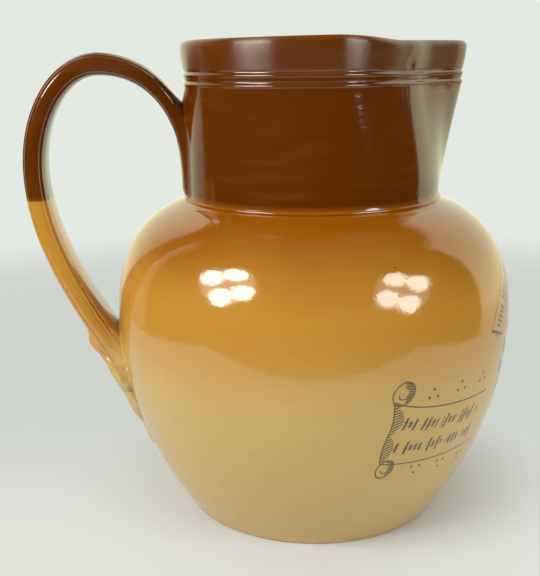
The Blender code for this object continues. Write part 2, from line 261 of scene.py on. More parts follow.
@dataclass
class ThrownBody:
    """The thrown vessel: belly, shoulder, neck, rings and rim, with its hollow."""

    foot_radius: float = 0.0571
    foot_round: float = 0.0014
    foot_lean: float = radians(27.2)
    foot_pull: float = 0.0098
    belly_radius: float = 0.08484
    belly_height: float = 0.0869
    belly_pull_down: float = 0.0494
    belly_pull_up: float = 0.0407
    joint_height: float = 0.1351
    shoulder_pull: float = 0.0056
    shoulder_slope: float = radians(36.4)
    bead_radius: float = 0.0007
    groove_depth: float = 0.00035
    neck_radius: float = 0.05365
    neck_top_radius: float = 0.05385
    rim_radius: float = 0.0549
    rim_height: float = 0.19999
    band_depth: float = 0.0142
    flare_share: float = 0.85
    band_swell: float = 0.00010
    ring_spacing: float = 0.0038
    ring_radius: float = 0.00075
    ring_rise: float = 0.00036
    body_wall: float = 0.0060
    neck_wall: float = 0.0050
    floor_thickness: float = 0.0080
    floor_round: float = 0.0100
    turn_steps: int = 168
    gather: float = 0.36
    curve_steps: int = 34
    spout: PulledSpout = field(default_factory=PulledSpout)

    def body_curve(self) -> list[Point]:
        """Outer side of the body from the foot up to the joint."""
        foot_pull = (
            self.foot_radius + self.foot_pull * sin(self.foot_lean),
            self.foot_pull * cos(self.foot_lean),
        )
        belly = (self.belly_radius, self.belly_height)
        lower = curve_points(
            (self.foot_radius, 0.0),
            foot_pull,
            (self.belly_radius, self.belly_height - self.belly_pull_down),
            belly,
            self.curve_steps,
        )
        shoulder_pull = (
            self.neck_radius + self.shoulder_pull * cos(self.shoulder_slope),
            self.joint_height - self.shoulder_pull * sin(self.shoulder_slope),
        )
        upper = curve_points(
            belly,
            (self.belly_radius, self.belly_height + self.belly_pull_up),
            shoulder_pull,
            (self.neck_radius, self.joint_height),
            self.curve_steps,
        )
        return lower + upper[1:]

    def body_radius(self, height: float) -> float:
        """Outer radius of the body at a height below the joint."""
        points = self.body_curve()
        for (r0, z0), (r1, z1) in zip(points, points[1:]):
            if z0 <= height <= z1:
                return r0 + (r1 - r0) * (height - z0) / (z1 - z0)
        return points[0][0] if height < points[0][1] else points[-1][0]

    def neck_radius_at(self, height: float) -> float:
        """Outer radius of the round neck at a height above the joint, flared in the band under the rim."""
        band = self.rim_height - self.band_depth
        share = (height - self.joint_height) / (band - self.joint_height)
        flare = smooth_step(max(height - band, 0.0) / (self.band_depth * self.flare_share))
        radius = self.neck_radius + (self.neck_top_radius - self.neck_radius) * min(share, 1.0)
        return radius + (self.rim_radius - self.neck_top_radius) * flare

    def ring(self, height: float) -> list[Point]:
        """One fine raised ring on the neck, from top to bottom, under the line of the turner's tool."""
        radius = self.neck_radius_at(height)
        line = [
            (radius, height + 2.9 * self.ring_radius),
            (radius - self.groove_depth, height + 1.9 * self.ring_radius),
            (radius - self.groove_depth * 0.6, height + 1.2 * self.ring_radius),
        ]
        roll = []
        for i in range(-4, 5):
            share = i / 5
            rise = self.ring_rise * cos(share * pi / 2)
            roll.append((radius + rise, height - share * self.ring_radius))
        return line + roll + [(radius, height - 1.6 * self.ring_radius)]

    def neck_heights(self) -> list[float]:
        """Heights of the plain wall between the rings and the joint, from the top."""
        top = self.rim_height - self.band_depth - self.ring_spacing - 3 * self.ring_radius
        low = self.joint_height + 3 * self.bead_radius
        count = 22
        return [top + (low - top) * i / count for i in range(count + 1)]

    def band(self) -> list[Point]:
        """The plain band under the rim, a little swollen, from top to bottom."""
        top = self.rim_height - self.neck_wall / 2
        low = self.rim_height - self.band_depth + 3.4 * self.ring_radius
        count = 9
        points = []
        for i in range(1, count + 1):
            share = i / count
            height = top + (low - top) * share
            swell = self.band_swell * sin(pi * share)
            points.append((self.neck_radius_at(height) + swell, height))
        return points

    def joint(self) -> list[Point]:
        """The fine roll of clay at the joint, over the line cut under the neck."""
        centre = (self.neck_radius + self.bead_radius * 0.35, self.joint_height + self.bead_radius * 0.4)
        roll = arc_points(centre, self.bead_radius, pi / 2, -pi / 3, 6)
        low = self.joint_height - 1.2 * self.bead_radius
        return roll + [(self.body_radius(low) - self.groove_depth, low)]

    def outer_profile(self) -> list[Point]:
        """Outline of the vessel without its hollow, from the middle of the rim down and in again."""
        half = self.neck_wall / 2
        rim = arc_points((self.rim_radius - half, self.rim_height - half), half, pi / 2, 0.0, 7)
        upper = self.rim_height - self.band_depth
        profile = [(0.0, self.rim_height)] + rim + self.band()
        profile += self.ring(upper) + self.ring(upper - self.ring_spacing)
        profile += [(self.neck_radius_at(z), z) for z in self.neck_heights()]
        profile += self.joint()
        lowest = profile[-1][1] - self.bead_radius
        profile += [p for p in self.body_curve()[::-1] if 2 * self.foot_round < p[1] < lowest]
        foot_centre = (self.foot_radius - self.foot_round * 0.55, self.foot_round)
        profile += arc_points(foot_centre, self.foot_round, self.foot_lean * -0.4, -pi / 2, 5)
        profile += [(self.foot_radius * share, 0.0) for share in (0.8, 0.5, 0.25)]
        return profile + [(0.0, 0.0)]

    def hollow_profile(self) -> list[Point]:
        """Outline of the hollow, from above the rim down to the floor."""
        half = self.neck_wall / 2
        centre = (self.rim_radius - half, self.rim_height - half)
        above = self.rim_height + self.neck_wall
        profile = [(0.0, above), (centre[0], above)]
        profile += arc_points(centre, half, pi / 2, pi, 7)
        heights = [self.rim_height - self.band_depth * share for share in (0.4, 0.7, 1.0)]
        profile += [(self.neck_radius_at(z) - self.neck_wall, z) for z in heights + self.neck_heights()]
        outer = self.body_curve()
        inner = []
        for before, point, after in zip(outer, outer[1:], outer[2:]):
            along = Vector((after[0] - before[0], after[1] - before[1])).normalized()
            inner.append((point[0] - self.body_wall * along.y, point[1] + self.body_wall * along.x))
        lowest = self.floor_thickness + self.floor_round
        highest = self.joint_height - self.body_wall
        profile += [p for p in inner if lowest < p[1] < highest][::-1]
        corner = self.body_radius(lowest) - self.body_wall - self.floor_round
        profile += arc_points((corner, lowest), self.floor_round, 0.0, -pi / 2, 8)
        profile += [(corner * share, self.floor_thickness) for share in (0.75, 0.5, 0.25)]
        return profile + [(0.0, self.floor_thickness)]

    def pull(self, solid: bpy.types.Object, outside: bool) -> None:
        """Pull the neck of a turned solid to the spout's shape.

        Args:
            solid: The turned solid.
            outside: Whether the solid is the outer form, which also takes the finger dents.
        """
        round_radius = self.rim_radius - self.neck_wall
        for vertex in solid.data.vertices:
            x, y, z = vertex.co
            radius = hypot(x, y)
            angle = atan2(y, x)
            angle -= self.gather * sin(2 * angle) / 2
            out, up = 0.0, 0.0
            if z > self.joint_height:
                out, up = self.spout.shift(angle, z, self.joint_height, self.rim_height)
                out -= self.spout.dent(angle, z, radius) if outside else 0.0
            share = min(radius / round_radius, 1.0)
            reach = radius + out * share
            vertex.co = (reach * cos(angle), reach * sin(angle), z + up * share)

    def solid(self, outside: bool) -> bpy.types.Object:
        """The vessel before it is hollowed, or the space inside it to cut it with."""
        name = "stoneware_jug" if outside else "hollow"
        profile = self.outer_profile() if outside else self.hollow_profile()
        solid = turned_solid(name, profile, self.turn_steps)
        self.pull(solid, outside)
        return solid


@dataclass
class StrapHandle:
    """The pulled strap: its centre line lies in the plane y = 0, and its edges carry fine reeds."""

    vessel: ThrownBody
    width: float = 0.0240
    thickness: float = 0.0093
    squareness: float = 3.0
    reed_angles: tuple[float, ...] = (radians(24.0), radians(47.0))
    reed_height: float = 0.00020
    reed_width: float = radians(5.0)
    root_height: float = 0.1380
    root_depth: float = 0.0025
    root_pull: float = 0.0400
    root_swell: float = 0.72
    crest_reach: float = 0.0345
    crest_height: float = 0.1904
    crest_pull_in: float = 0.0170
    crest_pull_out: float = 0.0160
    bend_reach: float = 0.0310
    bend_height: float = 0.1480
    bend_pull_up: float = 0.0220
    bend_pull_down: float = 0.0330
    foot_height: float = 0.0600
    foot_lean: float = radians(59.0)
    foot_pull: float = 0.0300
    foot_swell: float = 1.15
    sides: int = 72
    steps: int = 44
    join_reach: float = 0.0055
    join_fill: float = 1.25
    leaf_margin: float = 0.0008

    def knots(self) -> list[tuple[Vector, Vector, Vector, float]]:
        """Place, pull before, pull after and swell of each knot of the centre line, +X outwards."""
        half = self.thickness / 2
        body = self.vessel
        root = Vector((body.neck_radius - self.root_depth, 0.0, self.root_height))
        crest = Vector((body.neck_radius + self.crest_reach, 0.0, self.crest_height))
        bend = Vector((body.belly_radius + self.bend_reach, 0.0, self.bend_height))
        foot = Vector((body.body_radius(self.foot_height) - half / 2, 0.0, self.foot_height))
        out = Vector((1.0, 0.0, 0.0))
        up = Vector((0.0, 0.0, 1.0))
        arriving = out * cos(self.foot_lean) + up * sin(self.foot_lean)
        return [
            (root, root, root + up * self.root_pull, self.root_swell),
            (crest, crest - out * self.crest_pull_in, crest + out * self.crest_pull_out, 1.0),
            (bend, bend + up * self.bend_pull_up, bend - up * self.bend_pull_down, 1.0),
            (foot, foot + arriving * self.foot_pull, foot, self.foot_swell),
        ]

    def section_point(self, angle: float) -> Point:
        """Through and across place of a point of the strap's section."""
        power = 2.0 / self.squareness
        across = abs(cos(angle)) ** power * (1.0 if cos(angle) > 0 else -1.0)
        through = abs(sin(angle)) ** power * (1.0 if sin(angle) > 0 else -1.0)
        quarter = atan2(abs(sin(angle)), abs(cos(angle)))
        reed = sum(bump((quarter - place) / self.reed_width) for place in self.reed_angles)
        swell = 1.0 + self.reed_height * reed / (self.thickness / 2)
        return through * self.thickness / 2 * swell, across * self.width / 2 * swell

    def section(self) -> bpy.types.Object:
        """The strap's cross section, as a closed flat curve."""
        curve = bpy.data.curves.new("strap_section", "CURVE")
        spline = curve.splines.new("POLY")
        spline.points.add(self.sides - 1)
        for i, point in enumerate(spline.points):
            through, across = self.section_point(2 * pi * i / self.sides)
            point.co = (through, across, 0.0, 1.0)
        spline.use_cyclic_u = True
        section = bpy.data.objects.new("strap_section", curve)
        bpy.context.scene.collection.objects.link(section)
        return section

    def build(self) -> bpy.types.Object:
        """The strap as a closed mesh, its ends sunk in the neck and in the belly."""
        deselect_all()
        bpy.ops.curve.primitive_bezier_curve_add(location=(0.0, 0.0, 0.0))
        strap = bpy.context.object
        strap.name = "strap"
        curve = strap.data
        curve.dimensions = "3D"
        curve.resolution_u = self.steps
        curve.bevel_mode = "OBJECT"
        section = self.section()
        curve.bevel_object = section
        curve.use_fill_caps = True
        spline = curve.splines[0]
        knots = self.knots()
        spline.bezier_points.add(len(knots) - len(spline.bezier_points))
        for point, (place, before, after, swell) in zip(spline.bezier_points, knots):
            point.handle_left_type = "FREE"
            point.handle_right_type = "FREE"
            point.co = (-place.x, 0.0, place.z)
            point.handle_left = (-before.x, 0.0, before.z)
            point.handle_right = (-after.x, 0.0, after.z)
            point.radius = swell
        make_active(strap)
        bpy.ops.object.convert(target="MESH")
        bpy.data.objects.remove(section, do_unlink=True)
        weld_and_turn_out(strap)
        return strap

    def outer_face(self) -> list[Point]:
        """Points down the middle of the strap's outer face, from the bend to its foot."""
        knots = self.knots()
        bend, _, leaving, _ = knots[2]
        foot, arriving, _, swell = knots[3]
        corners = [(v.x, v.z) for v in (bend, leaving, arriving, foot)]
        line = curve_points(*corners, steps=3 * self.steps)
        half = self.thickness / 2 * swell
        face = []
        for before, point, after in zip(line, line[1:], line[2:]):
            along = Vector((after[0] - before[0], after[1] - before[1])).normalized()
            face.append((point[0] - half * along.y, point[1] + half * along.x))
        return face

    def smear(self, jug: bpy.types.Object, trees: Sequence[BVHTree], leaf_tree: BVHTree) -> None:
        """Smear the clay along the seam of vessel and strap to a soft fillet.

        Args:
            jug: The joined jug.
            trees: The vessel's and the strap's surfaces before they were joined.
            leaf_tree: The leaf's surface, which stays crisp.
        """
        self.refine_seam(jug, trees)
        moves = []
        for vertex in jug.data.vertices:
            gap = self.seam_gap(vertex.co, trees)
            if gap is None or leaf_tree.find_nearest(vertex.co, self.leaf_margin)[3] is not None:
                continue
            fill = (self.join_reach - gap) ** 2 / (4 * self.join_reach)
            moves.append((vertex.index, vertex.normal * fill * self.join_fill))
        for index, move in moves:
            jug.data.vertices[index].co += move
        with editing(jug, "DESELECT"):
            pass
        for index, _ in moves:
            jug.data.vertices[index].select = True
        with editing(jug, ""):
            bpy.ops.mesh.vertices_smooth(factor=0.4, repeat=3)

    def seam_gap(self, place: Vector, trees: Sequence[BVHTree]) -> float | None:
        """Distance of a surface point from the farther of two bodies, or None beyond the reach."""
        gaps = [tree.find_nearest(place, self.join_reach)[3] for tree in trees]
        return None if None in gaps else max(gaps)

    def refine_seam(self, jug: bpy.types.Object, trees: Sequence[BVHTree]) -> None:
        """Divide the faces along the seam, so that the fillet has points to follow."""
        with editing(jug, ""):
            bpy.ops.mesh.select_mode(type="FACE")
            bpy.ops.mesh.select_all(action="DESELECT")
        for polygon in jug.data.polygons:
            polygon.select = self.seam_gap(polygon.center, trees) is not None
        with editing(jug, ""):
            bpy.ops.mesh.quads_convert_to_tris()
            bpy.ops.mesh.subdivide(number_cuts=1)
            bpy.ops.mesh.select_mode(type="VERT")


@dataclass
class MouldedLeaf:
    """The leaf pressed in a mould and laid over the strap's foot, down to a long tip."""

    vessel: ThrownBody
    strap: StrapHandle
    top: float = 0.0815
    top_fade: float = 0.16
    edge_wrap: float = 0.0024
    tip: float = 0.0175
    width: float = 0.0320
    widest: float = 0.42
    relief: float = 0.0034
    lobes: int = 4
    lobe_depth: float = 0.26
    lobe_start: float = 0.04
    lobe_slant: float = 0.10
    top_share: float = 0.55
    taper: float = 0.8
    crown: float = 0.5
    fade: float = 0.45
    rib_relief: float = 0.0010
    vein_relief: float = 0.00045
    vein_pitch: float = 0.0017
    backing: float = 0.0050
    rows: int = 150
    columns: int = 60

    def base(self, face: Sequence[Point], height: float, side: float) -> float:
        """Distance from the axis of what the leaf is pressed on.

        Args:
            face: The middle of the strap's outer face.
            height: Height of the place.
            side: Sideways distance from the plane y = 0.

        Returns:
            The reach of the strap or of the belly there.
        """
        on_body = self.vessel.body_radius(height)
        on_body -= side * side / (2 * on_body)
        end_reach, end_height = face[-1]
        if height < end_height:
            fade = smooth_step((end_height - height) / self.strap.width)
            proud = max(end_reach - self.vessel.body_radius(end_height), 0.0)
            return on_body + proud * (1.0 - fade)
        for (high_reach, high), (low_reach, low) in zip(face, face[1:]):
            if low <= height <= high:
                share = (height - low) / (high - low)
                return max(on_body, low_reach + (high_reach - low_reach) * share)
        return on_body

    def half_width(self, along: float) -> float:
        """Half width of the leaf at a share of its length from the top."""
        spread = self.top_share + (1.0 - self.top_share) * smooth_step(along / self.widest)
        taper = min((1.0 - along) / (1.0 - self.widest), 1.0) ** self.taper
        lobe = abs(sin(pi * self.lobes * (along + self.lobe_start)))
        return self.width / 2 * spread * taper * (1.0 - self.lobe_depth + self.lobe_depth * lobe)

    def face_height(self, along: float, across: float, height: float, side: float) -> float:
        """Height of the carved face above what the leaf is pressed on.

        Args:
            along: Share of the leaf's length from its top.
            across: Place across the leaf, from -1 to 1.
            height: Height of the place above the floor.
            side: Sideways distance from the plane y = 0.

        Returns:
            The relief there, in metres.
        """
        edge = abs(across)
        crown = 1.0 - self.crown * edge**3
        fading = 1.0 - self.fade * along
        rib = bump(edge * 4.5)
        lobe_phase = self.lobes * (along + self.lobe_start - self.lobe_slant * edge)
        lobes = sin(pi * lobe_phase) ** 2 * min(edge * 2.0, 1.0)
        veins = sin(2 * pi * (height + 0.7 * abs(side)) / self.vein_pitch) * bump((edge - 0.55) / 0.45)
        relief = self.relief * crown * fading + self.rib_relief * (rib + lobes - 0.5)
        relief = (relief + self.vein_relief * veins * fading) * smooth_step(along / self.top_fade + 0.1)
        return relief - self.edge_wrap * edge**6

    def build(self) -> bpy.types.Object:
        """The leaf as a closed mesh that sinks in the handle's foot and in the belly."""
        deselect_all()
        bpy.ops.mesh.primitive_grid_add(
            x_subdivisions=self.rows, y_subdivisions=self.columns, size=2.0, location=(0.0, 0.0, 0.0)
        )
        leaf = bpy.context.object
        leaf.name = "leaf"
        face = self.strap.outer_face()
        for vertex in leaf.data.vertices:
            along = (vertex.co.x + 1.0) / 2.0
            across = vertex.co.y
            side = across * max(self.half_width(along), self.relief / 4)
            height = self.top + (self.tip - self.top) * along
            reach = self.base(face, height, side)
            reach += self.face_height(along, across, height, side)
            vertex.co = (-reach, side, height)
        inward = (self.relief + self.backing, 0.0, 0.0)
        with editing(leaf):
            bpy.ops.mesh.extrude_region_move(TRANSFORM_OT_translate={"value": inward})
            bpy.ops.mesh.select_all(action="SELECT")
            bpy.ops.mesh.normals_make_consistent(inside=False)
        return leaf


class Field:
    """A number worked out at every point of a surface: one output of a shader node."""

    def __init__(self, tree: Tree, socket: Socket) -> None:
        """Keep the node tree and the output that carries the number."""
        self.tree = tree
        self.socket = socket

    def math(self, operation: str, *others: "Field | float") -> "Field":
        """Add a Math node fed by this field and up to two more.

        Args:
            operation: The node's operation.
            others: Fields or plain numbers for its further inputs.

        Returns:
            The node's result.
        """
        node = self.tree.nodes.new("ShaderNodeMath")
        node.operation = operation
        for slot, value in zip(node.inputs, (self, *others)):
            if isinstance(value, Field):
                self.tree.links.new(value.socket, slot)
            else:
                slot.default_value = value
        return Field(self.tree, node.outputs[0])

    def __add__(self, other: "Field | float") -> "Field":
        """This plus another."""
        return self.math("ADD", other)

    def __sub__(self, other: "Field | float") -> "Field":
        """This less another."""
        return self.math("SUBTRACT", other)

    def __rsub__(self, other: float) -> "Field":
        """A number less this."""
        return (self * -1.0) + other

    def __mul__(self, other: "Field | float") -> "Field":
        """This times another."""
        return self.math("MULTIPLY", other)

    def __truediv__(self, other: "Field | float") -> "Field":
        """This over another."""
        return self.math("DIVIDE", other)

    def size(self) -> "Field":
        """Its absolute value."""
        return self.math("ABSOLUTE")

    def fraction(self) -> "Field":
        """Its fractional part."""
        return self.math("FRACT")

    def whole(self) -> "Field":
        """Its whole part."""
        return self.math("FLOOR")

    def sine(self) -> "Field":
        """Its sine."""
        return self.math("SINE")

    def least(self, other: "Field | float") -> "Field":
        """The smaller of two."""
        return self.math("MINIMUM", other)

    def most(self, other: "Field | float") -> "Field":
        """The larger of two."""
        return self.math("MAXIMUM", other)

    def clamp(self) -> "Field":
        """Itself kept between 0 and 1."""
        return self.most(0.0).least(1.0)

    def ramp(self, start: float, end: float) -> "Field":
        """0 at the start and 1 at the end, with an even rise between."""
        node = self.tree.nodes.new("ShaderNodeMapRange")
        node.interpolation_type = "SMOOTHSTEP"
        self.tree.links.new(self.socket, node.inputs["Value"])
        node.inputs["From Min"].default_value = start
        node.inputs["From Max"].default_value = end
        return Field(self.tree, node.outputs["Result"])

    def length_with(self, other: "Field") -> "Field":
        """Length of the pair of this and another."""
        return (self * self + other * other).math("SQRT")

    def random(self, seed: float = 0.0) -> "Field":
        """A random number for each whole value."""
        node = self.tree.nodes.new("ShaderNodeTexWhiteNoise")
        node.noise_dimensions = "1D"
        self.tree.links.new((self.whole() + (seed + 0.5)).socket, node.inputs["W"])
        return Field(self.tree, node.outputs["Value"])


def axes_of(tree: Tree, place: Socket) -> list[Field]:
    """The three axes of a vector output, as fields."""
    split = tree.nodes.new("ShaderNodeSeparateXYZ")
    tree.links.new(place, split.inputs["Vector"])
    return [Field(tree, split.outputs[axis]) for axis in "XYZ"]


def mixed(tree: Tree, share: Field, first: Colour | Socket, second: Colour | Socket) -> Socket:
    """Mix two colours by a share.

    Args:
        tree: The node tree.
        share: 0 for the first colour, 1 for the second.
        first: A colour or the output that carries one.
        second: The same.

    Returns:
        The output that carries the mixed colour.
    """
    node = tree.nodes.new("ShaderNodeMix")
    node.data_type = "RGBA"
    tree.links.new(share.socket, node.inputs["Factor"])
    for socket, value in ((node.inputs[6], first), (node.inputs[7], second)):
        if isinstance(value, tuple):
            socket.default_value = (*value, 1.0)
        else:
            tree.links.new(value, socket)
    return node.outputs[2]


@dataclass(frozen=True)
class TransferPrint:
    """The dark print on the belly: a scroll with rows of strokes on each side, and a wreath in front.

    Sizes are millimetres on the belly, measured along it from the spout's side and up from the floor.
    """

    belly_radius: float = 83.0
    line: float = 0.55
    edge_softness: float = 0.16
    scroll_left: float = 113.6
    scroll_right: float = 60.0
    scroll_lean: float = 0.14
    scroll_top: float = 70.5
    scroll_bottom: float = 44.2
    top_fall: float = 9.6
    bottom_fall: float = 4.3
    upper_roll: Triple = (107.9, 73.4, 4.3)
    lower_roll: Triple = (112.0, 41.2, 3.7)
    hatch_pitch: float = 1.15
    row_shares: tuple[float, ...] = (0.70, 0.30)
    row_height: float = 2.5
    stroke_pitch: float = 2.3
    stroke_lean: float = 0.22
    stroke_edges: Point = (0.64, 0.40)
    stroke_wave: float = 0.48
    row_ends: Point = (4.9, 48.0)
    dot_radius: float = 0.55
    dot_pitch: float = 14.5
    dot_ends: Point = (62.0, 103.0)
    dot_places: tuple[Point, ...] = ((4.4, 0.0), (8.4, 0.0), (6.4, 3.1))
    dot_rows: tuple[tuple[float, ...], ...] = ((70.0, 1.0, -1.3, 0.010), (39.9, -1.0, -3.6, 0.078))
    wreath_height: float = 66.0
    wreath_stretch: float = 1.22
    wreath_radius: float = 33.0
    wreath_leaves: float = 26.0
    leaf_half: float = 2.3
    leaf_offset: float = 2.9
    petals: Point = (5.0, 9.0)
    ribbon_strokes: float = 26.0
    stroke_height: float = 3.0
    print_start: Point = (0.0600, 0.0605)
    ribbon_radii: Point = (44.0, 55.0)
    ribbon_spread: float = radians(66.0)

    def inked(self, distance: Field, width: float) -> Field:
        """A soft-edged line of a width where a distance passes 0."""
        half = width / 2
        return distance.size().ramp(half + self.edge_softness, half - self.edge_softness)

    def between(self, value: Field, low: float | Field, high: float | Field) -> Field:
        """1 where a value lies between two others, with a soft edge."""
        above = (value - low).ramp(-self.edge_softness, self.edge_softness)
        below = (value - high).ramp(self.edge_softness, -self.edge_softness)
        return above * below

    def scroll(self, along: Field, height: Field) -> Field:
        """The scroll: its edges, two rolled ends, hatching and two rows of plain strokes.

        Args:
            along: Millimetres along the belly from the spout's side.
            height: Millimetres above the floor.

        Returns:
            How much ink lies at each point.
        """
        left = height * -self.scroll_lean + (self.scroll_left + self.scroll_lean * 52.0)
        left = left + ((height - self.scroll_bottom) * (2 * pi / 24.0)).sine() * 0.7
        inward = left - along
        fall = 1.0 - (inward * 0.055 + 1.0).math("POWER", -1.0)
        top = fall * -self.top_fall + self.scroll_top
        bottom = fall * -self.bottom_fall + self.scroll_bottom
        inside = self.between(along, self.scroll_right, left)
        edges = (self.inked(height - top, self.line) + self.inked(height - bottom, self.line)) * inside
        upright = self.between(height, bottom, top)
        shade_width = ((height - self.scroll_bottom) * (pi / 12.4)).sine().size() * 3.4 + 1.2
        hatch_phase = ((height + along * 0.30) / self.hatch_pitch).fraction()
        hatch = (hatch_phase - 0.5).size().ramp(0.16, 0.32) * self.between(inward, 0.0, shade_width)
        side = self.inked(inward, self.line)
        shading = (hatch + side).clamp() * upright
        share = (height - bottom) / (top - bottom)
        writing = self.rows(inward, share, top - bottom)
        rolls = self.roll(along, height, self.upper_roll).most(self.roll(along, height, self.lower_roll))
        return edges.most(shading).most(writing * inside).most(rolls)

    def rows(self, inward: Field, share: Field, span: Field) -> Field:
        """Rows of slanted strokes of uneven height, joined by a fine wave: no letters."""
        ink = None
        for number, centre in enumerate(self.row_shares):
            above = (share - centre) * span
            place = (inward - above * self.stroke_lean) / self.stroke_pitch
            tall = place.random(7.0 * number) * (self.row_height * 0.75) + self.row_height * 0.45
            upright = ((place.fraction() - 0.5) * self.stroke_pitch).size().ramp(*self.stroke_edges)
            stroke = upright * self.between(above.size(), -1.0, tall)
            wave = above - (place * (2 * pi)).sine() * (self.row_height * 0.33)
            joined = self.inked(wave, self.stroke_wave)
            word = (place * 0.21 + 0.37 * number).fraction().ramp(0.20, 0.24)
            row = stroke.most(joined) * word * self.between(inward, *self.row_ends)
            ink = row if ink is None else ink.most(row)
        return ink

    def roll(self, along: Field, height: Field, ring: tuple[float, float, float]) -> Field:
        """One rolled end of the scroll: a ring, a turn inside it and hatching on one side."""
        place, middle, radius = ring
        across = along - place
        up = height - middle
        slanted = across + up * 0.22
        away = slanted.length_with(up * 0.92)
        outline = self.inked(away - radius, self.line)
        turn = self.inked(away - radius * 0.45, self.line * 0.8) * up.ramp(1.5, -1.5)
        phase = ((up - across * 0.35) / (self.hatch_pitch * 0.8)).fraction()
        hatch = (phase - 0.5).size().ramp(0.04, 0.22) * across.ramp(radius * 0.1, -radius * 0.35)
        inside = away.ramp(radius, radius - 0.4)
        return outline.most(turn).most(hatch * inside * away.ramp(radius * 0.35, radius * 0.5))

    def dots(self, along: Field, height: Field) -> Field:
        """Groups of three dots over and under the scroll."""
        ink = None
        for level, flip, offset, slope in self.dot_rows:
            phase = ((along + offset) / self.dot_pitch).fraction() * self.dot_pitch
            lean = (along - 100.0) * -slope
            for across, up in self.dot_places:
                away = (phase - across).length_with(height - level + lean - up * flip)
                dot = away.ramp(self.dot_radius + 0.2, self.dot_radius - 0.1)
                ink = dot if ink is None else ink.most(dot)
        return ink * self.between(along, *self.dot_ends)

    def wreath(self, along: Field, height: Field) -> Field:
        """A plain wreath of paired leaves round a rosette, with a ribbon arched over it."""
        across = along / self.wreath_stretch
        up = height - self.wreath_height
        away = across.length_with(up)
        turn = across.math("ARCTAN2", up)
        phase = (turn * (self.wreath_leaves / (2 * pi)) + away * 0.035).fraction()
        leaf_width = (phase * pi).sine() * self.leaf_half
        offset = ((away - self.wreath_radius).size() - self.leaf_offset).size()
        leaf = (offset - leaf_width).ramp(self.edge_softness, -self.edge_softness)
        vein = self.inked(offset, 0.3)
        stem = self.inked(away - self.wreath_radius, 0.5)
        open_top = turn.ramp(0.10, 0.16)
        leaves = (leaf * (1.0 - vein * 0.8)).most(stem) * open_top
        petals = (turn * 4.0).math("COSINE").size() * self.petals[0] + self.petals[1]
        rosette = self.inked(away - petals, 0.5).most(self.inked(away - 4.0, 0.6))
        veins = ((turn * (40.0 / pi)).fraction() - 0.5).size().ramp(0.38, 0.46)
        veins = veins * self.between(away, 5.0, 10.0)
        low, high = self.ribbon_radii
        within = self.between(turn, -1.0, self.ribbon_spread)
        rims = self.inked(away - low, self.line).most(self.inked(away - high, self.line)) * within
        end = self.inked((turn - self.ribbon_spread) * 50.0, self.line * 2) * self.between(away, low, high)
        inside = within * self.between(away, low + 2.4, high - 2.4)
        place = turn * self.ribbon_strokes
        tall = (place.random(31.0) * 0.5 + 0.5) * self.stroke_height
        stroke = (place.fraction() - 0.5).size().ramp(0.32, 0.20)
        strokes = stroke * (away - (low + high) / 2).size().math("LESS_THAN", tall)
        word = (place * 0.17 + 0.1).fraction().ramp(0.16, 0.2)
        return leaves.most(rosette).most(veins).most(rims).most(end).most(inside * strokes * word)

    def ink(self, x: Field, y: Field, z: Field) -> Field:
        """All the print, as the share of ink at each point.

        Args:
            x, y, z: The point's place in metres.

        Returns:
            0 for bare glaze and up to 1 for full ink.
        """
        azimuth = y.math("ARCTAN2", x).size()
        along = azimuth * self.belly_radius
        height = z * 1000.0
        print_ = self.scroll(along, height).most(self.dots(along, height)).most(self.wreath(along, height))
        outside = x.length_with(y).ramp(*self.print_start)
        return print_ * outside


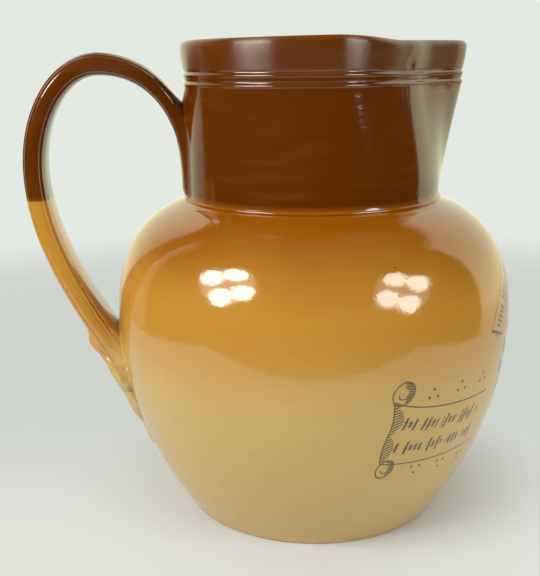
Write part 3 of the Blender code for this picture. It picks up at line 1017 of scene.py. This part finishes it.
@dataclass(frozen=True)
class SaltGlaze:
    """The jug's one finish: iron-brown dip above, ochre to buff salt glaze below, print and specks."""

    dip_height: float = 0.1364
    dip_wander: float = 0.0007
    dip_edge: float = 0.0004
    brown: Colour = (0.121, 0.0280, 0.0004)
    brown_thin: Colour = (0.230, 0.0700, 0.0060)
    ochre: Colour = (0.300, 0.086, 0.0010)
    amber: Colour = (0.560, 0.262, 0.0340)
    buff: Colour = (0.590, 0.385, 0.108)
    pale: Colour = (0.575, 0.372, 0.110)
    bare: Colour = (0.480, 0.360, 0.220)
    ink_colour: Colour = (0.036, 0.022, 0.018)
    speck: Colour = (0.060, 0.025, 0.008)
    gloss: float = 0.09
    band_low: float = 0.1872
    band_high: float = 0.2000
    band_edge: float = 0.0008
    band_gloss: float = 0.30
    bare_gloss: float = 0.62
    smudging: float = 0.05
    throwing_depth: float = 0.024
    wave_depth: float = 0.045
    swell_depth: float = 0.060
    skin_depth: float = 0.025
    blister_height: float = 0.28
    pit_depth: float = 0.03
    refraction: float = 1.72
    cloud_grain: Grain = (22.0, 22.0, 30.0)
    streak_grain: Grain = (30.0, 30.0, 420.0)
    mottle_grain: Grain = (240.0, 240.0, 320.0)
    thin_grain: Grain = (34.0, 34.0, 260.0)
    wear_grain: Grain = (900.0, 900.0, 900.0)
    throwing_grain: Grain = (10.0, 10.0, 620.0)
    wave_grain: Grain = (26.0, 26.0, 150.0)
    swell_grain: Grain = (60.0, 60.0, 70.0)
    skin_grain: Grain = (700.0, 700.0, 700.0)
    smudge_grain: Grain = (60.0, 60.0, 90.0)
    wander_grain: Grain = (45.0, 45.0, 0.0)
    small_specks: Triple = (95.0, 0.80, 0.045)
    fine_specks: Triple = (210.0, 0.72, 0.070)
    pale_to_buff: Point = (0.012, 0.060)
    buff_to_amber: Point = (0.060, 0.100)
    amber_to_ochre: Point = (0.098, 0.134)
    cloud_shift: float = 0.016
    streak_shift: float = 0.005
    handle_start: Point = (0.0862, 0.0925)
    handle_level: float = 0.068
    handle_share: float = 0.75
    mottling: float = 0.09
    thinning: float = 0.30
    rim_wear: float = 0.55
    rim_wear_heights: Point = (0.1975, 0.2005)
    edge_thinning: float = 0.75
    edge_heights: Point = (0.0022, 0.0002)
    bare_heights: Point = (0.0009, 0.0005)
    blisters: tuple[tuple[float, float, float, float], ...] = (
        (-0.0466, -0.0500, 0.1262, 0.0011),
        (-0.0315, -0.0590, 0.1245, 0.0012),
        (-0.0075, -0.0830, 0.1050, 0.0011),
        (0.0200, -0.0500, 0.1640, 0.0017),
    )
    print_: TransferPrint = TransferPrint()

    def noise(
        self, tree: Tree, place: Socket, stretch: Grain,
        detail: float = 2.0,
    ) -> Field:
        """Soft noise over a stretched place, around 0.5."""
        mapping = tree.nodes.new("ShaderNodeMapping")
        mapping.inputs["Scale"].default_value = stretch
        tree.links.new(place, mapping.inputs["Vector"])
        texture = tree.nodes.new("ShaderNodeTexNoise")
        texture.inputs["Scale"].default_value = 1.0
        texture.inputs["Detail"].default_value = detail
        tree.links.new(mapping.outputs["Vector"], texture.inputs["Vector"])
        return Field(tree, texture.outputs["Fac"])

    def specks(self, tree: Tree, place: Socket, scale: float, rarity: float,
               radius: float) -> Field:
        """Scattered round specks: 1 inside a speck and 0 outside.

        Args:
            tree: The material's node tree.
            place: Object coordinates.
            scale: Cells to the metre.
            rarity: Share of the cells that stay empty.
            radius: Largest speck, as a share of a cell.

        Returns:
            The specks.
        """
        cells = tree.nodes.new("ShaderNodeTexVoronoi")
        cells.inputs["Scale"].default_value = scale
        tree.links.new(place, cells.inputs["Vector"])
        split = tree.nodes.new("ShaderNodeSeparateColor")
        tree.links.new(cells.outputs["Color"], split.inputs["Color"])
        chance = Field(tree, split.outputs["Red"])
        big = Field(tree, split.outputs["Green"]) * radius + radius * 0.25
        away = Field(tree, cells.outputs["Distance"])
        return (big - away).ramp(0.0, radius * 0.35) * chance.ramp(rarity, rarity + 0.01)

    def blister_hills(self, x: Field, y: Field, z: Field) -> Field:
        """Small raised blisters at their places."""
        hills = None
        for px, py, pz, radius in self.blisters:
            flat = (x - px).length_with(y - py)
            hill = flat.length_with(z - pz).ramp(radius, 0.0)
            hills = hill if hills is None else hills.most(hill)
        return hills

    def base_colour(
        self, tree: Tree, place: Socket, x: Field, y: Field, z: Field, dipped: Field
    ) -> Socket:
        """Colour of the glaze, the dip, the specks and the print."""
        clouds = self.noise(tree, place, self.cloud_grain, 3.0)
        streaks = self.noise(tree, place, self.streak_grain, 2.0)
        handle = x.length_with(y).ramp(*self.handle_start)
        level = z + (clouds - 0.5) * self.cloud_shift + (streaks - 0.5) * self.streak_shift
        level = level * (1.0 - handle * self.handle_share) + handle * self.handle_level
        body = mixed(tree, level.ramp(*self.pale_to_buff), self.pale, self.buff)
        body = mixed(tree, level.ramp(*self.buff_to_amber), body, self.amber)
        body = mixed(tree, level.ramp(*self.amber_to_ochre), body, self.ochre)
        mottle = self.noise(tree, place, self.mottle_grain, 4.0)
        body = mixed(tree, mottle.ramp(0.52, 0.85) * self.mottling, body, self.ochre)
        thin = self.noise(tree, place, self.thin_grain, 3.0).ramp(0.50, 0.82) * self.thinning
        rim_wear = z.ramp(*self.rim_wear_heights) * self.rim_wear
        brown = mixed(tree, thin.most(rim_wear), self.brown, self.brown_thin)
        near_edge = (z - self.dip_height).ramp(*self.edge_heights) * self.edge_thinning
        brown = mixed(tree, near_edge, brown, self.brown_thin)
        colour = mixed(tree, dipped, body, brown)
        small = self.specks(tree, place, *self.small_specks)
        fine = self.specks(tree, place, *self.fine_specks)
        marks = (small * 0.85).most(fine * 0.5) * (1.0 - dipped * 0.6)
        colour = mixed(tree, marks, colour, self.speck)
        wear = self.noise(tree, place, self.wear_grain, 2.0).ramp(0.30, 0.55) * 0.20 + 0.76
        colour = mixed(tree, self.print_.ink(x, y, z) * wear, colour, self.ink_colour)
        return mixed(tree, z.ramp(*self.bare_heights), colour, self.bare)

    def relief(
        self, tree: Tree, place: Socket, x: Field, y: Field, z: Field
    ) -> Field:
        """Height of throwing lines, glaze skin, blisters and pits, in millimetres."""
        throwing = self.noise(tree, place, self.throwing_grain, 2.0) - 0.5
        waves = self.noise(tree, place, self.wave_grain, 1.0) - 0.5
        swells = self.noise(tree, place, self.swell_grain, 1.0) - 0.5
        skin = self.noise(tree, place, self.skin_grain, 1.0) - 0.5
        pits = self.specks(tree, place, *self.fine_specks)
        hills = self.blister_hills(x, y, z)
        height = throwing * self.throwing_depth + waves * self.wave_depth + swells * self.swell_depth
        height = height + skin * self.skin_depth
        return height + hills * self.blister_height - pits * self.pit_depth

    def build(self) -> bpy.types.Material:
        """The finish as a node material."""
        material = bpy.data.materials.new("salt_glazed_stoneware")
        material.use_nodes = True
        tree = material.node_tree
        shader = tree.nodes["Principled BSDF"]
        coordinates = tree.nodes.new("ShaderNodeTexCoord")
        place = coordinates.outputs["Object"]
        x, y, z = axes_of(tree, place)
        wander = self.noise(tree, place, self.wander_grain, 3.0) - 0.5
        dipped = (z - self.dip_height + wander * self.dip_wander * 2).ramp(-self.dip_edge, self.dip_edge)
        tree.links.new(self.base_colour(tree, place, x, y, z, dipped), shader.inputs["Base Color"])
        smudge = self.noise(tree, place, self.smudge_grain, 2.0)
        bare = z.ramp(*self.bare_heights)
        above = z.ramp(self.band_low, self.band_low + self.band_edge)
        in_band = above * z.ramp(self.band_high, self.band_high - self.band_edge)
        rough = (smudge - 0.5) * self.smudging + self.gloss
        rough = rough.most(bare * self.bare_gloss).most(in_band * self.band_gloss)
        tree.links.new(in_band.socket, shader.inputs["Anisotropic"])
        upward = tree.nodes.new("ShaderNodeCombineXYZ")
        upward.inputs["Z"].default_value = 1.0
        tree.links.new(upward.outputs["Vector"], shader.inputs["Tangent"])
        tree.links.new(rough.socket, shader.inputs["Roughness"])
        shader.inputs["IOR"].default_value = self.refraction
        relief = tree.nodes.new("ShaderNodeBump")
        relief.inputs["Strength"].default_value = 1.0
        relief.inputs["Distance"].default_value = MILLIMETRE
        tree.links.new(self.relief(tree, place, x, y, z).socket, relief.inputs["Height"])
        tree.links.new(relief.outputs["Normal"], shader.inputs["Normal"])
        return material


@dataclass
class Jug:
    """The whole jug: one piece of stoneware."""

    body: ThrownBody = field(default_factory=ThrownBody)
    glaze: SaltGlaze = field(default_factory=SaltGlaze)

    def build(self) -> bpy.types.Object:
        """Throw, pull, lute, hollow and glaze the jug.

        Returns:
            The finished piece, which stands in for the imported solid.
        """
        handle = StrapHandle(self.body)
        jug = self.body.solid(outside=True)
        strap = handle.build()
        leaf = MouldedLeaf(self.body, handle).build()
        trees = (tree_of(jug), tree_of(strap))
        leaf_tree = tree_of(leaf)
        work_in(jug, strap, Join.ADD)
        work_in(jug, leaf, Join.ADD)
        work_in(jug, self.body.solid(outside=False), Join.CUT)
        handle.smear(jug, trees, leaf_tree)
        weld_and_turn_out(jug, 1e-6)
        jug.name = "stoneware_jug"
        jug.data.name = "stoneware_jug"
        make_active(jug)
        bpy.ops.object.shade_smooth_by_angle(angle=radians(38.0))
        jug.data.materials.clear()
        jug.data.materials.append(self.glaze.build())
        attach(jug, "root")
        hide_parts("jug")
        return jug


@dataclass
class Studio:
    """The pale floor and backdrop, the light tent and its lamps, and the camera at the photograph's place."""

    handle_turn: float = radians(8.0)
    camera_distance: float = 0.3757
    camera_height: float = 0.1915
    camera_pitch: float = radians(14.67)
    camera_yaw: float = radians(-2.84)
    camera_roll: float = radians(-0.62)
    lens: float = 54.55
    table_half_width: float = 0.368
    table_front: float = 0.260
    table_back: float = 0.75
    bowl_radius: float = 1.30
    bowl_height: float = 1.60
    bowl_round: float = 0.45
    floor_colour: Colour = (0.66, 0.68, 0.72)
    # Tones the paper glows with away from the jug: painted light in front and far off, and a painted shadow
    # of the jug behind it in between.
    front_tone: Colour = (0.765, 0.765, 0.710)
    painted_shadow_tone: Colour = (0.625, 0.655, 0.610)
    far_tone: Colour = (0.775, 0.815, 0.765)
    far_start: float = 0.42
    far_end: float = 0.66
    front_start: float = 0.060
    front_end: float = -0.070
    glow_start: float = 0.055
    glow_end: float = 0.125
    tent_edge: float = radians(18.0)
    tent_top: float = radians(45.0)
    ceiling_glow: float = 0.10
    tent_softness: float = 0.05
    tent_floor: float = 0.45
    left_dim: float = 0.38
    left_dim_span: Point = (-0.97, -0.55)
    tent_light: Colour = (1.20, 1.28, 0.92)
    room_light: Colour = (0.036, 0.028, 0.016)
    lamp_distance: float = 0.70
    lamp_size: float = 0.180
    lamp_spread: Point = (0.178, 0.228)
    lamp_power: float = 0.98
    halo_size: float = 0.46
    halo_power: float = 1.0
    lamp_colour: Colour = (0.98, 0.99, 0.92)
    left_mirror: Triple = (-0.030, -0.074, 0.112)
    right_mirror: Triple = (0.033, -0.073, 0.112)
    right_share: float = 0.62
    fill_power: float = 3.4
    fill_size: Point = (1.2, 0.8)
    fill_place: Triple = (-0.45, -0.85, 0.95)
    fill_target: float = 0.08

    def turned(self, x: float, y: float, z: float) -> Vector:
        """A place measured from the camera's side, in the jug's own frame."""
        return Matrix.Rotation(-self.handle_turn, 3, "Z") @ Vector((x, y, z))

    def paper(self, name: str, glow_start: float, glow_end: float) -> bpy.types.Material:
        """Pale matt paper that is lit near the jug and farther off glows with painted light and shade
        instead: brighter in front and far off, with a painted shadow of the jug behind it.

        Args:
            name: The material's name.
            glow_start: Distance from the jug's axis where the painted light and shade begin.
            glow_end: Distance where only the painted light and shade are left.

        Returns:
            The material.
        """
        material = bpy.data.materials.new(name)
        material.use_nodes = True
        tree = material.node_tree
        shader = tree.nodes["Principled BSDF"]
        shader.inputs["Base Color"].default_value = (*self.floor_colour, 1.0)
        shader.inputs["Roughness"].default_value = 0.85
        shader.inputs["Specular IOR Level"].default_value = 0.1
        coordinates = tree.nodes.new("ShaderNodeTexCoord")
        x, y, z = axes_of(tree, coordinates.outputs["Object"])
        away = x.length_with(y)
        behind = self.turned(0.0, 1.0, 0.0)
        depth = x * behind.x + y * behind.y
        # Painted light and shade: the glowing paper is darker behind the jug as a painted shadow, and
        # brighter in front and on the rising backdrop.
        raised = away.ramp(self.far_start, self.far_end).most(z.ramp(0.02, 0.30))
        tone = mixed(tree, raised, self.painted_shadow_tone, self.far_tone)
        tone = mixed(tree, depth.ramp(self.front_start, self.front_end), tone, self.front_tone)
        glow = tree.nodes.new("ShaderNodeEmission")
        tree.links.new(tone, glow.inputs["Color"])
        mix = tree.nodes.new("ShaderNodeMixShader")
        tree.links.new(away.ramp(glow_start, glow_end).socket, mix.inputs["Fac"])
        tree.links.new(shader.outputs["BSDF"], mix.inputs[1])
        tree.links.new(glow.outputs["Emission"], mix.inputs[2])
        tree.links.new(mix.outputs["Shader"], tree.nodes["Material Output"].inputs["Surface"])
        return material

    def table(self, paper: bpy.types.Material) -> bpy.types.Object:
        """The sheet that the jug stands on, which its glaze mirrors up to the sheet's front edge."""
        deselect_all()
        bpy.ops.mesh.primitive_plane_add(size=1.0, location=(0.0, 0.0, 0.0))
        table = bpy.context.object
        table.name = "floor_sheet"
        middle = (self.table_back - self.table_front) / 2
        length = self.table_back + self.table_front
        for vertex in table.data.vertices:
            x = vertex.co.x * 2 * self.table_half_width
            vertex.co = self.turned(x, middle + vertex.co.y * length, 0.0)
        table.data.materials.append(paper)
        return table

    def bowl(self, paper: bpy.types.Material) -> bpy.types.Object:
        """The floor beyond the sheet and the backdrop that rises from it, seen by the camera alone."""
        flat = self.bowl_radius - self.bowl_round
        profile = [(0.0, -0.0004), (flat, -0.0004)]
        centre = (flat, self.bowl_round - 0.0004)
        profile += arc_points(centre, self.bowl_round, -pi / 2, 0.0, 16)[1:]
        profile += [(self.bowl_radius, self.bowl_height)]
        bowl = turned_solid("backdrop", profile, 96)
        with editing(bowl):
            bpy.ops.mesh.flip_normals()
        bpy.ops.object.shade_smooth()
        bowl.data.materials.append(paper)
        bowl.visible_glossy = False
        bowl.visible_diffuse = False
        bowl.visible_shadow = False
        bowl.visible_transmission = False
        return bowl

    def world(self) -> None:
        """A white tent round the back and a dim room in front, as the glaze mirrors them."""
        world = bpy.data.worlds.new("light_tent")
        world.use_nodes = True
        tree = world.node_tree
        background = tree.nodes["Background"]
        coordinates = tree.nodes.new("ShaderNodeTexCoord")
        x, y, z = axes_of(tree, coordinates.outputs["Generated"])
        behind = self.turned(0.0, 1.0, 0.0)
        back = x * behind.x + y * behind.y
        flat = x.length_with(y)
        share = back / flat.most(0.001)
        sides = share.ramp(sin(self.tent_edge) - 0.03, sin(self.tent_edge) + 0.03)
        top = z.ramp(sin(self.tent_top) + self.tent_softness, sin(self.tent_top) - self.tent_softness)
        low = z.ramp(-0.30, -0.05)
        right = self.turned(1.0, 0.0, 0.0)
        across = (x * right.x + y * right.y) / flat.most(0.001)
        left_fade = across.ramp(*self.left_dim_span) * (1.0 - self.left_dim) + self.left_dim
        ceiling = z.ramp(sin(self.tent_top), 1.0) * self.ceiling_glow
        glow = sides * top * (low * (1.0 - self.tent_floor) + self.tent_floor) * left_fade + ceiling
        colour = mixed(tree, glow, self.room_light, self.tent_light)
        tree.links.new(colour, background.inputs["Color"])
        bpy.context.scene.world = world

    def lamp(self, name: str, size: float, power: float, place: Vector, target: Vector) -> bpy.types.Object:
        """An area lamp at a place, looking at another, both from the camera's side."""
        light = bpy.data.lights.new(name, "AREA")
        light.size = size
        light.energy = power
        lamp = bpy.data.objects.new(name, light)
        bpy.context.scene.collection.objects.link(lamp)
        lamp.location = self.turned(*place)
        away = self.turned(*target) - lamp.location
        lamp.rotation_euler = away.to_track_quat("-Z", "Y").to_euler()
        return lamp

    def disc(self, name: str, size: float, power: float, place: Vector, target: Vector) -> None:
        """One round soft lamp.

        Args:
            name: The lamp's name.
            size: Its diameter.
            power: Its power in watts.
            place: Its place, from the camera's side.
            target: What it looks at, from the camera's side.
        """
        lamp = self.lamp(name, size, power, place, target)
        lamp.data.shape = "DISK"
        lamp.data.color = self.lamp_colour

    def lamp_group(
        self, name: str, mirror: Vector, azimuth: float, height: float, roll: float, power: float
    ) -> None:
        """Four round lamps in a square before a dim diffuser.

        Args:
            name: Start of the lamps' names.
            mirror: The place on the belly that mirrors them, from the camera's side.
            azimuth: Direction from that place to the lamps, in radians.
            height: Angle above the level.
            roll: Turn of the square about its own middle.
            power: Share of the full lamp power.
        """
        toward = Vector((cos(height) * cos(azimuth), cos(height) * sin(azimuth), sin(height)))
        right = Vector((-sin(azimuth), cos(azimuth), 0.0))
        up = right.cross(toward) * -1.0
        centre = mirror + toward * self.lamp_distance
        wide = (right * cos(roll) + up * sin(roll)) * self.lamp_spread[0]
        tall = (up * cos(roll) - right * sin(roll)) * self.lamp_spread[1]
        for number, (across, along) in enumerate(((-0.5, 0.5), (0.5, 0.5), (-0.5, -0.5), (0.5, -0.5))):
            spot = centre + wide * across + tall * along
            self.disc(f"{name}_{number}", self.lamp_size, self.lamp_power * power, spot, mirror)
        self.disc(f"{name}_halo", self.halo_size, self.halo_power * power, centre + toward * 0.05, mirror)

    def fill(self) -> None:
        """A broad soft light from above the camera, which the glaze doesn't mirror."""
        target = Vector((0.0, 0.0, self.fill_target))
        lamp = self.lamp("front_fill", self.fill_size[0], self.fill_power, Vector(self.fill_place), target)
        lamp.data.shape = "RECTANGLE"
        lamp.data.size_y = self.fill_size[1]
        lamp.visible_glossy = False

    def camera(self) -> None:
        """The camera where the photograph was taken from."""
        data = bpy.data.cameras.new("camera")
        data.sensor_width = 36.0
        data.lens = self.lens
        camera = bpy.data.objects.new("camera", data)
        bpy.context.scene.collection.objects.link(camera)
        level = cos(self.camera_pitch)
        across = sin(self.camera_yaw) * level
        forward = Vector((across, cos(self.camera_yaw) * level, -sin(self.camera_pitch)))
        right = Vector((cos(self.camera_yaw), -sin(self.camera_yaw), 0.0))
        up = right.cross(forward)
        facing = Matrix((right, up, -forward)).transposed()
        facing = facing @ Matrix.Rotation(self.camera_roll, 3, "Z")
        place = facing.to_4x4()
        place.translation = Vector((0.0, -self.camera_distance, self.camera_height))
        camera.matrix_world = Matrix.Rotation(-self.handle_turn, 4, "Z") @ place
        bpy.context.scene.camera = camera

    def build(self) -> None:
        """Set up the whole studio."""
        self.table(self.paper("pale_paper", self.glow_start, self.glow_end))
        # The backdrop glows all over with the paper's painted light and shade.
        self.bowl(self.paper("backdrop_paper", 0.0, 0.01))
        self.world()
        left = (radians(-145.0), radians(31.0), radians(38.0))
        right = (radians(-34.0), radians(25.0), radians(-38.0))
        self.lamp_group("left_lamp", Vector(self.left_mirror), *left, 1.0)
        self.lamp_group("right_lamp", Vector(self.right_mirror), *right, self.right_share)
        self.fill()
        self.camera()
        bpy.context.scene.view_settings.view_transform = "Standard"


def main() -> None:
    """Build the jug and its studio in order."""
    logging.basicConfig(level=logging.INFO, format="%(name)s: %(message)s")
    jug = Jug().build()
    LOG.info("%s has %d faces", jug.name, len(jug.data.polygons))
    Studio().build()
    LOG.info("studio is set")


if __name__ == "__main__":
    main()
